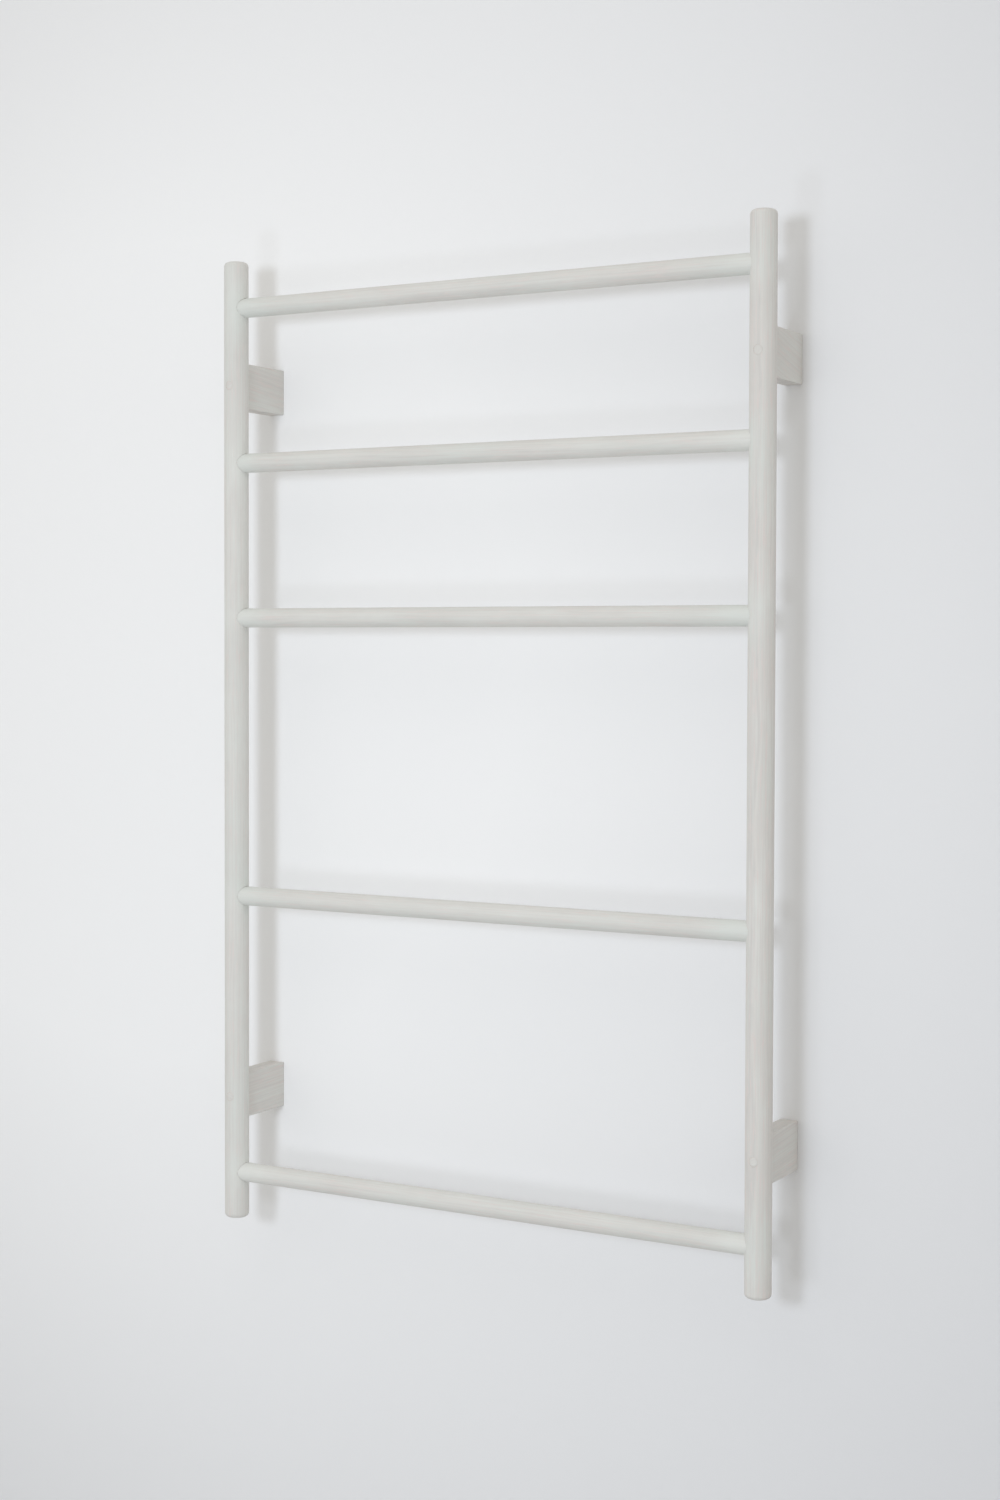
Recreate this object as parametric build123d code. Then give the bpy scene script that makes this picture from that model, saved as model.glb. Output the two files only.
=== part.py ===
from build123d import *
import os
from math import sqrt

# A wall-mounted wooden towel ladder: two round uprights joined by five round rungs, held off the wall
# by four rectangular blocks that hang on keyhole plates.
# Millimetres. X runs along the wall to the right, +Y runs into the wall and +Z is up.
# The origin lies on the wall face, at the centre of the four wall fixings.

# ---------------------------------------------------------------- driving dimensions
HEIGHT = 1100.0  # length of an upright
AXIS_SPACING = 652.0  # between the axes of the two uprights
STANDOFF = 80.0  # from the wall face to the axes of the uprights and rungs
UPRIGHT_D = 28.0
RUNG_D = 22.0
END_ROUNDING = 5.0  # on both ends of an upright
END_OVERHANG = 53.0  # upright beyond the axis of the first and of the last rung
UPPER_PITCH = 177.0  # from rung 1 to rung 2 and from rung 2 to rung 3

BLOCK_THICKNESS = 20.0  # along X
BLOCK_HEIGHT = 52.0  # along Z
BLOCK_EDGE = 0.8  # rounding of the block's arrises

GLUE_GAP = 0.05  # left all round between two glued pieces

# Rung ends: the full diameter enters a shallow socket, so that its shoulder is hidden
SOCKET_BELOW_SADDLE = 0.5  # depth of the socket floor below the lowest point of the round joint line
TENON_D = 14.0
TENON_LENGTH = 15.0
TENON_CHAMFER = 1.0
MORTISE_SPARE = 0.8  # room for glue beyond the tenon's end

# Dowels between a block and its upright
DOWEL_D = 6.0
DOWEL_LENGTH = 24.0
DOWEL_IN_UPRIGHT = 9.5
DOWEL_FROM_CENTRE = 17.0
DOWEL_CHAMFER = 0.8
DOWEL_SPARE = 0.5

# Wood screw that draws an upright onto its block, sunk in the front of the upright under a wooden plug
BLOCK_SCREW_D = 3.5
BLOCK_SCREW_LENGTH = 50.0  # below its head
BLOCK_SCREW_HEAD_D = 7.0
BLOCK_SCREW_HEAD_H = 2.4
PLUG_D = 10.0
PLUG_ABOVE_HEAD = 0.3  # from the screw's head to the plug
COUNTERBORE_DEPTH = 9.0  # from the front of the upright to the seat of the screw's head

# Keyhole plate in the wall side of a block
PLATE_WIDTH = 15.0
PLATE_HEIGHT = 46.0
PLATE_THICKNESS = 1.8
PLATE_CORNER = 3.0
PLATE_BELOW_WALL_FACE = 0.2
PLATE_PLAY = 0.1  # all round, in its recess
KEYHOLE_ENTRY_D = 9.4
KEYHOLE_SLOT = 4.6  # width
KEYHOLE_LENGTH = 10.0  # from the centre of the slot's rounded top to the centre of the entry hole
PLATE_HOLE_D = 3.4
PLATE_HOLE_FROM_CENTRE = 19.0
PLATE_SINK_D = 6.2
POCKET_WIDTH = 10.4  # clearance for the wall screw's head behind the plate
POCKET_DEPTH = 10.0

# Screws of the keyhole plate
PLATE_SCREW_D = 2.8
PLATE_SCREW_HEAD_D = 6.0
PLATE_SCREW_LENGTH = 14.0

# Wall screw
WALL_SCREW_D = 4.5  # over its thread, which starts at the wall face
WALL_SCREW_SHANK_D = 3.4  # between the head and the thread
WALL_SCREW_HEAD_D = 8.0
WALL_SCREW_HEAD_H = 2.8
WALL_SCREW_IN_WALL = 45.0

SCREW_TIP = 5.0  # length of a screw's point
SCREW_SPARE = 1.0  # room beyond a screw's point
HOLE_PLAY = 0.05  # on the radius, between a screw and its hole
RECESS_DEPTH = 1.5  # cross recess in a screw head
RECESS_WIDTH = 0.9

# ---------------------------------------------------------------- places worked out from them
UPRIGHT_R = UPRIGHT_D / 2
RUNG_R = RUNG_D / 2
HALF_SPACING = AXIS_SPACING / 2
LOWER_PITCH = (HEIGHT - 2 * END_OVERHANG - 2 * UPPER_PITCH) / 2

RUNG_HEIGHTS = [HEIGHT / 2 - END_OVERHANG]
for pitch in (UPPER_PITCH, UPPER_PITCH, LOWER_PITCH, LOWER_PITCH):
    RUNG_HEIGHTS.append(RUNG_HEIGHTS[-1] - pitch)

# The blocks stand midway between rungs 1 and 2, and as far from the lower end as from the upper end
BLOCK_Z = HEIGHT / 2 - END_OVERHANG - UPPER_PITCH / 2

# Distance of a socket's flat floor from the upright's axis
SOCKET_FLOOR = sqrt(UPRIGHT_R**2 - RUNG_R**2) - SOCKET_BELOW_SADDLE
UPRIGHT_BACK = -STANDOFF + UPRIGHT_R  # Y of the line of an upright nearest the wall
UPRIGHT_FRONT = -STANDOFF - UPRIGHT_R  # and of the one furthest from it
BLOCK_SCREW_SEAT = UPRIGHT_FRONT + COUNTERBORE_DEPTH

# A plate hangs with the top of its slot on the screw's shank, which is narrower than the slot
KEYHOLE_TOP = (WALL_SCREW_SHANK_D - KEYHOLE_SLOT) / 2
KEYHOLE_MIDDLE = KEYHOLE_TOP - KEYHOLE_LENGTH / 2

SIDES = {"left": -1, "right": 1}
LEVELS = {"upper": 1, "lower": -1}


# ---------------------------------------------------------------- shape helpers
def along_x(radius, x_from, x_to, y, z):
    """A round bar along X."""
    return Pos((x_from + x_to) / 2, y, z) * Rot(0, 90, 0) * Cylinder(radius, abs(x_to - x_from))


def along_y(radius, y_from, y_to, x=0.0, z=0.0):
    """A round bar along Y."""
    return Pos(x, (y_from + y_to) / 2, z) * Rot(90, 0, 0) * Cylinder(radius, abs(y_to - y_from))


def turned(outline):
    """A solid turned about the Y axis from a closed outline of (radius, y) points."""
    return revolve(make_face(Polyline(*outline, close=True)), Axis.Y)


def cross_recess(width, y_face, towards):
    """The cross cut into a screw head whose face is at y_face, cut in the direction towards (+1 or -1)."""
    y_mid = y_face + towards * RECESS_DEPTH / 2
    arm = Box(width, RECESS_DEPTH, RECESS_WIDTH)
    return Pos(0, y_mid, 0) * (arm + Rot(0, 90, 0) * arm)


def pan_head_screw(head_d, head_h, seat, body):
    """A screw that points along +Y. Its head's underside is at y = seat, and body is the outline below it."""
    head_r = head_d / 2
    face = seat - head_h
    head = [(0, face), (head_r * 0.7, face), (head_r, seat - head_h * 0.5), (head_r, seat)]
    return turned(head + body) - cross_recess(head_d * 0.55, face, 1)


def save(solids, name):
    """Write one node, as one solid or as a group of separate solids."""
    shape = solids[0] if len(solids) == 1 else Compound(children=solids)
    shape.label = name
    export_step(shape, f"parts/{name}.step")


# ---------------------------------------------------------------- ladder
def upright(side):
    """A round rail with five blind sockets towards the other rail, drilled for its two blocks."""
    rail = Cylinder(UPRIGHT_R, HEIGHT)
    rail = fillet(rail.edges().filter_by(GeomType.CIRCLE), END_ROUNDING)
    inwards = -side
    for height in RUNG_HEIGHTS:
        rail -= along_x(RUNG_R + GLUE_GAP, inwards * SOCKET_FLOOR, inwards * (UPRIGHT_R + 1), 0, height)
        mortise_end = SOCKET_FLOOR - TENON_LENGTH - MORTISE_SPARE
        rail -= along_x(TENON_D / 2 + GLUE_GAP, inwards * mortise_end, inwards * UPRIGHT_R, 0, height)
    for level in LEVELS.values():
        z_block = level * BLOCK_Z
        dowel_floor = UPRIGHT_R - DOWEL_IN_UPRIGHT - DOWEL_SPARE
        for end in (-1, 1):
            z_dowel = z_block + end * DOWEL_FROM_CENTRE
            rail -= along_y(DOWEL_D / 2 + GLUE_GAP, dowel_floor, UPRIGHT_R + 1, z=z_dowel)
        rail -= along_y(BLOCK_SCREW_D / 2 + HOLE_PLAY, -UPRIGHT_R, UPRIGHT_R + 1, z=z_block)
        rail -= along_y(PLUG_D / 2 + GLUE_GAP, -UPRIGHT_R - 1, COUNTERBORE_DEPTH - UPRIGHT_R, z=z_block)
    return Pos(side * HALF_SPACING, -STANDOFF, 0) * rail


def rung(height):
    """A round bar with a turned tenon on each end."""
    half_body = HALF_SPACING - SOCKET_FLOOR - GLUE_GAP
    bar = along_x(RUNG_R, -half_body, half_body, -STANDOFF, height)
    half_length = half_body + TENON_LENGTH
    tenons = along_x(TENON_D / 2, -half_length, half_length, -STANDOFF, height)
    tenons = chamfer(tenons.edges().filter_by(GeomType.CIRCLE), TENON_CHAMFER)
    return bar + tenons


# ---------------------------------------------------------------- blocks and their hardware
# Each of these is made about the line where its wall screw passes, and is then moved to its place.
def block():
    """A spacer block: hollowed to the upright in front, recessed for its keyhole plate behind."""
    y_front = -(STANDOFF - UPRIGHT_R / 2)
    body = Pos(0, y_front / 2, 0) * Box(BLOCK_THICKNESS, -y_front, BLOCK_HEIGHT)
    body = fillet(body.edges(), BLOCK_EDGE)
    body -= Pos(0, -STANDOFF, 0) * Cylinder(UPRIGHT_R + GLUE_GAP, BLOCK_HEIGHT + 2)

    recess_depth = PLATE_THICKNESS + PLATE_BELOW_WALL_FACE
    recess = RectangleRounded(
        PLATE_WIDTH + 2 * PLATE_PLAY, PLATE_HEIGHT + 2 * PLATE_PLAY, PLATE_CORNER + PLATE_PLAY
    )
    body -= extrude(Plane.XZ * recess, recess_depth)

    pocket = Pos(0, KEYHOLE_MIDDLE) * SlotCenterToCenter(KEYHOLE_LENGTH, POCKET_WIDTH, rotation=90)
    body -= extrude(Plane.XZ * pocket, POCKET_DEPTH)

    screw_floor = BLOCK_SCREW_SEAT + BLOCK_SCREW_LENGTH + SCREW_SPARE
    body -= along_y(BLOCK_SCREW_D / 2 + HOLE_PLAY, y_front, screw_floor)
    dowel_floor = UPRIGHT_BACK - DOWEL_IN_UPRIGHT + DOWEL_LENGTH + DOWEL_SPARE
    for end in (-1, 1):
        z_dowel = end * DOWEL_FROM_CENTRE
        body -= along_y(DOWEL_D / 2 + GLUE_GAP, y_front, dowel_floor, z=z_dowel)
        z_screw = end * PLATE_HOLE_FROM_CENTRE
        screw_floor = -PLATE_SCREW_LENGTH - SCREW_SPARE
        body -= along_y(PLATE_SCREW_D / 2 + HOLE_PLAY, screw_floor, -recess_depth, z=z_screw)
    return body


def block_dowels():
    """The two wooden dowels between a block and its upright."""
    y_tip = UPRIGHT_BACK - DOWEL_IN_UPRIGHT
    pin = along_y(DOWEL_D / 2, y_tip, y_tip + DOWEL_LENGTH)
    pin = chamfer(pin.edges().filter_by(GeomType.CIRCLE), DOWEL_CHAMFER)
    return [Pos(0, 0, end * DOWEL_FROM_CENTRE) * pin for end in (-1, 1)]


def block_screw():
    """The wood screw that holds an upright on a block, its head deep in the front of the upright."""
    shank_r = BLOCK_SCREW_D / 2
    y_tip = BLOCK_SCREW_SEAT + BLOCK_SCREW_LENGTH
    body = [(shank_r, BLOCK_SCREW_SEAT), (shank_r, y_tip - SCREW_TIP), (0, y_tip)]
    return pan_head_screw(BLOCK_SCREW_HEAD_D, BLOCK_SCREW_HEAD_H, BLOCK_SCREW_SEAT, body)


def screw_plug():
    """The wooden plug over a block's screw, trimmed flush with the round of the upright."""
    y_inner = BLOCK_SCREW_SEAT - BLOCK_SCREW_HEAD_H - PLUG_ABOVE_HEAD
    plug = along_y(PLUG_D / 2, UPRIGHT_FRONT - 1, y_inner)
    return plug & (Pos(0, -STANDOFF, 0) * Cylinder(UPRIGHT_R, PLUG_D + 2))


def hanger_plate():
    """A flat steel plate with a keyhole and two countersunk holes."""
    outline = RectangleRounded(PLATE_WIDTH, PLATE_HEIGHT, PLATE_CORNER)
    outline -= Pos(0, KEYHOLE_TOP - KEYHOLE_LENGTH) * Circle(KEYHOLE_ENTRY_D / 2)
    slot = Pos(0, KEYHOLE_MIDDLE) * SlotCenterToCenter(KEYHOLE_LENGTH, KEYHOLE_SLOT, rotation=90)
    plate = extrude(Plane.XZ * (outline - slot), PLATE_THICKNESS)
    sink_depth = (PLATE_SINK_D - PLATE_HOLE_D) / 2
    sink = Pos(0, -sink_depth / 2, 0) * Rot(-90, 0, 0) * Cone(PLATE_HOLE_D / 2, PLATE_SINK_D / 2, sink_depth)
    for end in (-1, 1):
        z_hole = end * PLATE_HOLE_FROM_CENTRE
        plate -= along_y(PLATE_HOLE_D / 2, -PLATE_THICKNESS - 1, 0, z=z_hole)
        plate -= Pos(0, 0, z_hole) * sink
    return Pos(0, -PLATE_BELOW_WALL_FACE, 0) * plate


def plate_screws():
    """The two countersunk screws of a keyhole plate."""
    face = -PLATE_BELOW_WALL_FACE - HOLE_PLAY
    head_r = PLATE_SCREW_HEAD_D / 2
    shank_r = PLATE_SCREW_D / 2
    screw = turned(
        [
            (0, face),
            (head_r, face),
            (shank_r, face - (head_r - shank_r)),
            (shank_r, -PLATE_SCREW_LENGTH + SCREW_TIP / 2),
            (0, -PLATE_SCREW_LENGTH),
        ]
    )
    screw -= cross_recess(PLATE_SCREW_HEAD_D * 0.5, face, -1)
    return [Pos(0, 0, end * PLATE_HOLE_FROM_CENTRE) * screw for end in (-1, 1)]


def wall_screw():
    """The screw that stays in the wall, its head held behind the keyhole."""
    seat = -PLATE_BELOW_WALL_FACE - PLATE_THICKNESS - HOLE_PLAY
    shank_r = WALL_SCREW_SHANK_D / 2
    thread_r = WALL_SCREW_D / 2
    body = [
        (shank_r, seat),
        (shank_r, 0),
        (thread_r, 0),
        (thread_r, WALL_SCREW_IN_WALL - SCREW_TIP),
        (0, WALL_SCREW_IN_WALL),
    ]
    return pan_head_screw(WALL_SCREW_HEAD_D, WALL_SCREW_HEAD_H, seat, body)


# ---------------------------------------------------------------- assembly
os.makedirs("parts", exist_ok=True)

for side_name, side in SIDES.items():
    save([upright(side)], f"upright_{side_name}")

for number, height in enumerate(RUNG_HEIGHTS, start=1):
    save([rung(height)], f"rung_{number}")

FIXING_PIECES = {
    "bracket": [block()],
    "bracket_dowels": block_dowels(),
    "bracket_screw": [block_screw()],
    "screw_plug": [screw_plug()],
    "hanger_plate": [hanger_plate()],
    "plate_screws": plate_screws(),
    "wall_screw": [wall_screw()],
}
for level_name, level in LEVELS.items():
    for side_name, side in SIDES.items():
        place = Pos(side * HALF_SPACING, 0, level * BLOCK_Z)
        for piece_name, solids in FIXING_PIECES.items():
            save([place * solid for solid in solids], f"{piece_name}_{level_name}_{side_name}")
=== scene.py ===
import math

import bmesh
import bpy
from mathutils import Matrix, Vector, noise


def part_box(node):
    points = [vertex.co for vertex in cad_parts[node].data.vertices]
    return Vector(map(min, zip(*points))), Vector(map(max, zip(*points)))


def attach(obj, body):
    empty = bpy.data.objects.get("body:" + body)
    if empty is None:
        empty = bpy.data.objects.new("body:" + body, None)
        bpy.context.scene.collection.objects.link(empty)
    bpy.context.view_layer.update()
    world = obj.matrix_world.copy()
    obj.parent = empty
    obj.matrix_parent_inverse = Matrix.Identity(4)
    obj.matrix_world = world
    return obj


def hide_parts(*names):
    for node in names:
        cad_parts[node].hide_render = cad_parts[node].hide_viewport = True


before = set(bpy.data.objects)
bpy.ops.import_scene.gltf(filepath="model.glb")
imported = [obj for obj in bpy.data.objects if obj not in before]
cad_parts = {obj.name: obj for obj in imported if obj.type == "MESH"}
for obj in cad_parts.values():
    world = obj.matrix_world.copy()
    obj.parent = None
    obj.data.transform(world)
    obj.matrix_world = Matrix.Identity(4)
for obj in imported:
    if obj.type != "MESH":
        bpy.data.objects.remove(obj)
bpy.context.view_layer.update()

# A wall-mounted wooden towel ladder, in metres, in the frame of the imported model:
# X along the wall to the right, +Y into the wall, Z up, and the origin on the wall face.

MM = 0.001
SIDES = {"left": -1, "right": 1}
LEVELS = {"upper": 1, "lower": -1}
PLACES = [f"{level}_{side}" for level in LEVELS for side in SIDES]
RUNGS = [f"rung_{number}" for number in range(1, 6)]


# ---------------------------------------------------------------- sizes, read from the frame
def middle(node):
    low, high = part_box(node)
    return (low + high) / 2


def extent(node):
    low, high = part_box(node)
    return high - low


UPRIGHT_X = middle("upright_right").x
RAIL_Y = middle("upright_right").y
UPRIGHT_LENGTH = extent("upright_right").z
UPRIGHT_R = extent("upright_right").x / 2
RUNG_LENGTH = extent("rung_1").x
RUNG_R = extent("rung_1").z / 2
RUNG_Z = [middle(node).z for node in RUNGS]
BLOCK_Z = middle("bracket_upper_right").z
BLOCK = extent("bracket_upper_right")
PLATE = extent("hanger_plate_upper_right")
PLATE_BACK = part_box("hanger_plate_upper_right")[1].y

# Details inside those boxes
END_ROUNDING = 5 * MM
TENON_R = 7 * MM
TENON_LENGTH = 15 * MM
SOCKET_FLOOR = math.sqrt(UPRIGHT_R**2 - RUNG_R**2) - 0.5 * MM  # from the upright's axis
SOCKET_GAP = 0.13 * MM
SOCKET_RISE = 0.09 * MM  # a rung rests on the bottom of its socket, so the gap shows above it
MORTISE_SPARE = 0.8 * MM
HOLE_PLAY = 0.05 * MM
DOWEL_R = 3 * MM
DOWEL_OFFSET = 17 * MM
DOWEL_IN_UPRIGHT = 10 * MM  # depth of the hole, as is the next
DOWEL_IN_BLOCK = 15 * MM
PLUG_R = 5 * MM
COUNTERBORE_DEPTH = 9 * MM
BLOCK_SCREW_SEAT = RAIL_Y - UPRIGHT_R + COUNTERBORE_DEPTH
BLOCK_SCREW_R = 1.75 * MM
BLOCK_SCREW_LENGTH = 50 * MM
PLATE_HOLE_OFFSET = 19 * MM
KEYHOLE_TOP = -0.6 * MM  # centre of the slot's round top, from the wall screw's axis
KEYHOLE_LENGTH = 10 * MM


# ---------------------------------------------------------------- camera
CAMERA_PLACE = Vector((1.2119, -2.1748, 0.1128))
CAMERA_YAW = math.radians(29.578)  # to the left of straight at the wall
CAMERA_DIP = math.radians(1.606)
CAMERA_ROLL = math.radians(0.142)
CAMERA_LENS = 53.76
CAMERA_SHIFT_Y = -0.0282


def add_camera():
    data = bpy.data.cameras.new("camera")
    data.sensor_width = 36
    data.lens = CAMERA_LENS
    data.shift_y = CAMERA_SHIFT_Y
    data.clip_end = 50
    camera = bpy.data.objects.new("camera", data)
    turn = Matrix.Rotation(CAMERA_YAW, 4, "Z") @ Matrix.Rotation(math.pi / 2 - CAMERA_DIP, 4, "X")
    roll = Matrix.Rotation(CAMERA_ROLL, 4, "Z")
    camera.matrix_world = Matrix.Translation(CAMERA_PLACE) @ turn @ roll
    bpy.context.scene.collection.objects.link(camera)
    bpy.context.scene.camera = camera


add_camera()


# ---------------------------------------------------------------- materials
class Nodes:
    """A short way to write a node tree."""

    def __init__(self, name):
        self.material = bpy.data.materials.new(name)
        self.material.use_nodes = True
        self.tree = self.material.node_tree
        self.tree.nodes.clear()
        self.output = self.add("ShaderNodeOutputMaterial")

    def add(self, kind, **settings):
        node = self.tree.nodes.new(kind)
        for key, value in settings.items():
            setattr(node, key, value)
        return node

    def join(self, value, socket):
        """Link an output to a socket, or set the socket to a plain value."""
        if isinstance(value, bpy.types.NodeSocket):
            self.tree.links.new(value, socket)
        else:
            socket.default_value = value

    def attribute(self, name, output):
        return self.add("ShaderNodeAttribute", attribute_name=name).outputs[output]

    def math(self, operation, a, b=0.0, clamp=False):
        node = self.add("ShaderNodeMath", operation=operation, use_clamp=clamp)
        self.join(a, node.inputs[0])
        self.join(b, node.inputs[1])
        return node.outputs[0]

    def around_zero(self, value, strength):
        """A value from 0 to 1, moved down by a half and made stronger."""
        return self.math("MULTIPLY", self.math("SUBTRACT", value, 0.5), strength)

    def scaled(self, vector, scale):
        node = self.add("ShaderNodeVectorMath", operation="MULTIPLY")
        self.join(vector, node.inputs[0])
        node.inputs[1].default_value = scale
        return node.outputs[0]

    def shifted(self, vector, other):
        node = self.add("ShaderNodeVectorMath", operation="ADD")
        self.join(vector, node.inputs[0])
        self.join(other, node.inputs[1])
        return node.outputs[0]

    def noise(self, vector, scale, detail=2.0, roughness=0.5, output="Fac"):
        """Noise, with a separate number of cycles per metre along each axis."""
        node = self.add("ShaderNodeTexNoise")
        self.join(self.scaled(vector, scale), node.inputs["Vector"])
        node.inputs["Scale"].default_value = 1.0
        node.inputs["Detail"].default_value = detail
        node.inputs["Roughness"].default_value = roughness
        return node.outputs[output]

    def remap(self, value, low, high, to_low=0.0, to_high=1.0):
        """A straight ramp between two values, held level outside them."""
        node = self.add("ShaderNodeMapRange")
        self.join(value, node.inputs["Value"])
        ends = {"From Min": low, "From Max": high, "To Min": to_low, "To Max": to_high}
        for socket, number in ends.items():
            node.inputs[socket].default_value = number
        return node.outputs["Result"]

    def mix(self, factor, a, b, blend="MIX"):
        node = self.add("ShaderNodeMix", data_type="RGBA", blend_type=blend)
        self.join(factor, node.inputs[0])
        for value, socket in ((a, node.inputs[6]), (b, node.inputs[7])):
            self.join((*value, 1.0) if isinstance(value, tuple) else value, socket)
        return node.outputs[2]

    def bump(self, height, distance, strength=1.0, normal=None):
        node = self.add("ShaderNodeBump")
        node.inputs["Strength"].default_value = strength
        node.inputs["Distance"].default_value = distance
        self.join(height, node.inputs["Height"])
        if normal is not None:
            self.join(normal, node.inputs["Normal"])
        return node.outputs["Normal"]

    def surface(self, **sockets):
        """The Principled shader, with its sockets named by keyword."""
        shader = self.add("ShaderNodeBsdfPrincipled")
        for key, value in sockets.items():
            socket = shader.inputs[key.replace("_", " ").title().replace("Ior", "IOR")]
            self.join((*value, 1.0) if isinstance(value, tuple) and len(value) == 3 else value, socket)
        self.tree.links.new(shader.outputs[0], self.output.inputs["Surface"])
        return self.material


PAINT = (0.712, 0.716, 0.680)
PAINT_COOL = (0.672, 0.695, 0.658)
WOOD_UNDER_PAINT = (0.682, 0.652, 0.616)
WOOD_DARK_UNDER_PAINT = (0.624, 0.598, 0.570)
WOOD_PINK_UNDER_PAINT = (0.692, 0.619, 0.588)

# How much each thing adds to the paint's cover
BRUSHED_THICK = 0.65
CLOUDS = 1.2
SMALL_CLOUDS = 0.5
GRAIN_LINES = 4.5


def grain_values(nodes, place):
    """Values from 0 to 1 for fibres, streaks, year rings and pores, where the grain runs along Z."""
    warp = nodes.noise(place, (16, 16, 5), detail=1.5, output="Color")
    bent = nodes.shifted(place, nodes.scaled(warp, (0.016, 0.016, 0.0)))
    centre_line = nodes.shifted(bent, (0.031, -0.019, 0.0))
    distance = nodes.add("ShaderNodeVectorMath", operation="LENGTH")
    nodes.join(nodes.scaled(centre_line, (1.0, 1.0, 0.0)), distance.inputs[0])
    ring_line = nodes.add("ShaderNodeCombineXYZ")
    nodes.join(distance.outputs["Value"], ring_line.inputs[0])
    rings = nodes.noise(ring_line.outputs[0], (420, 1, 1), detail=1.0)
    fibres = nodes.noise(place, (900, 900, 28), detail=3.0, roughness=0.6)
    streaks = nodes.noise(place, (560, 560, 6), detail=2.0, roughness=0.6)
    pores = nodes.noise(place, (1900, 1900, 150), detail=1.0)
    return fibres, streaks, rings, pores


def painted_wood(name, cover, contrast):
    """Thin matt paint, greenish where it lies thick. Where it is thin, the wood's grain shows."""
    nodes = Nodes(name)
    place = nodes.attribute("grain", "Vector")
    thick = nodes.attribute("paint", "Fac")
    fibres, streaks, rings, pores = grain_values(nodes, place)

    cloud = nodes.noise(place, (38, 38, 13), detail=2.0)
    small_cloud = nodes.noise(place, (150, 150, 60), detail=2.0)
    lines = nodes.math("ADD", nodes.math("MULTIPLY", fibres, 0.4), nodes.math("MULTIPLY", streaks, 0.6))
    body = nodes.math("ADD", nodes.around_zero(cloud, CLOUDS), cover)
    body = nodes.math("ADD", body, nodes.math("MULTIPLY", thick, BRUSHED_THICK))
    body = nodes.math("ADD", body, nodes.around_zero(small_cloud, SMALL_CLOUDS))
    streaked = nodes.math("ADD", body, nodes.around_zero(lines, GRAIN_LINES * contrast), clamp=True)

    wood = nodes.mix(nodes.remap(rings, 0.35, 0.65), WOOD_UNDER_PAINT, WOOD_DARK_UNDER_PAINT)
    dabs = nodes.noise(place, (420, 420, 45), detail=2.0)
    wood = nodes.mix(nodes.remap(dabs, 0.54, 0.64, 0.0, 0.9), wood, WOOD_PINK_UNDER_PAINT)
    wood = nodes.mix(nodes.remap(pores, 0.62, 0.72, 0.0, 0.35), wood, WOOD_DARK_UNDER_PAINT)
    drift = nodes.remap(nodes.noise(place, (21, 21, 9), detail=1.0), 0.4, 0.62, 0.0, 0.75)
    paint = nodes.mix(drift, PAINT, PAINT_COOL)
    colour = nodes.mix(nodes.remap(streaked, 0.0, 1.0, 0.12, 1.0), wood, paint)

    roughness = nodes.remap(streaked, 0.0, 1.0, 0.66, 0.54)
    dips = nodes.math("MULTIPLY", pores, -0.25)
    ridges = nodes.math("ADD", nodes.math("MULTIPLY", fibres, 0.7), dips)
    relief = nodes.bump(ridges, distance=0.05 * MM, strength=0.6)
    speckle = nodes.noise(place, (1500, 1500, 1100), detail=2.0)
    relief = nodes.bump(speckle, distance=0.02 * MM, strength=0.5, normal=relief)
    return nodes.surface(base_color=colour, roughness=roughness, specular_ior_level=0.32, normal=relief)


def bare_wood(name, light, dark):
    """Beech: pale brown with a fine straight grain and short dark flecks."""
    nodes = Nodes(name)
    place = nodes.attribute("grain", "Vector")
    fibres, _, rings, pores = grain_values(nodes, place)
    colour = nodes.mix(nodes.remap(rings, 0.35, 0.65), light, dark)
    colour = nodes.mix(nodes.remap(fibres, 0.35, 0.7, 0.0, 0.45), colour, dark)
    fleck = tuple(0.45 * channel for channel in dark)
    colour = nodes.mix(nodes.remap(pores, 0.6, 0.7, 0.0, 0.6), colour, fleck)
    relief = nodes.bump(nodes.math("SUBTRACT", fibres, pores), distance=0.08 * MM, strength=0.7)
    roughness = nodes.remap(fibres, 0.3, 0.7, 0.62, 0.78)
    return nodes.surface(base_color=colour, roughness=roughness, specular_ior_level=0.3, normal=relief)


def zinc_steel(name, light, dark, marks_per_metre):
    """Bright zinc plate: slightly cloudy, with fine marks from rolling or turning."""
    nodes = Nodes(name)
    place = nodes.attribute("grain", "Vector")
    cloud = nodes.noise(place, (260, 260, 260), detail=3.0)
    marks = nodes.noise(place, marks_per_metre, detail=2.0)
    colour = nodes.mix(nodes.remap(cloud, 0.35, 0.68), light, dark)
    bloom = nodes.noise(place, (700, 700, 700), detail=2.0)
    colour = nodes.mix(nodes.remap(bloom, 0.6, 0.75, 0.0, 0.35), colour, (0.72, 0.70, 0.62))
    roughness = nodes.remap(marks, 0.3, 0.7, 0.26, 0.44)
    relief = nodes.bump(marks, distance=0.01 * MM, strength=0.6)
    return nodes.surface(base_color=colour, metallic=1.0, roughness=roughness, normal=relief)


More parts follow.
